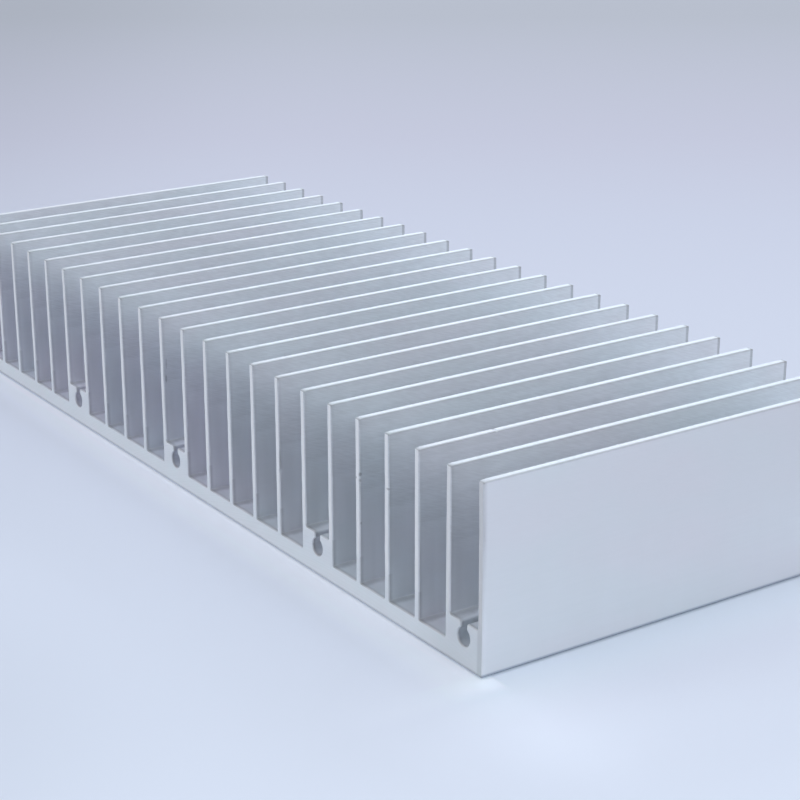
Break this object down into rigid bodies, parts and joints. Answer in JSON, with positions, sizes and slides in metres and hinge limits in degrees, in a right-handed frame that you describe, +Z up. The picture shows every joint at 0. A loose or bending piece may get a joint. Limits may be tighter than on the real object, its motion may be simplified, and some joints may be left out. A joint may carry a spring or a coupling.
{
  "type": "extruded heat sink",
  "caption": "Extruded aluminium heat sink: flat base plate with a row of tall, thin parallel fins and slotted screw ports between some of them; carries heat from electronics into the air.",
  "frame": {"origin": "centre of the flat underside of the base", "axes": "+X across the fins, +Y along the extrusion and its screw ports, +Z up from the underside to the fin tips"},
  "size_m": [0.1852, 0.0742, 0.0304],
  "materials": {
    "aluminium": "satin mill finish as extruded, sawn at both ends"
  },
  "bodies": {
    "root": {"heat_sink": "aluminium"}
  },
  "joints": []
}
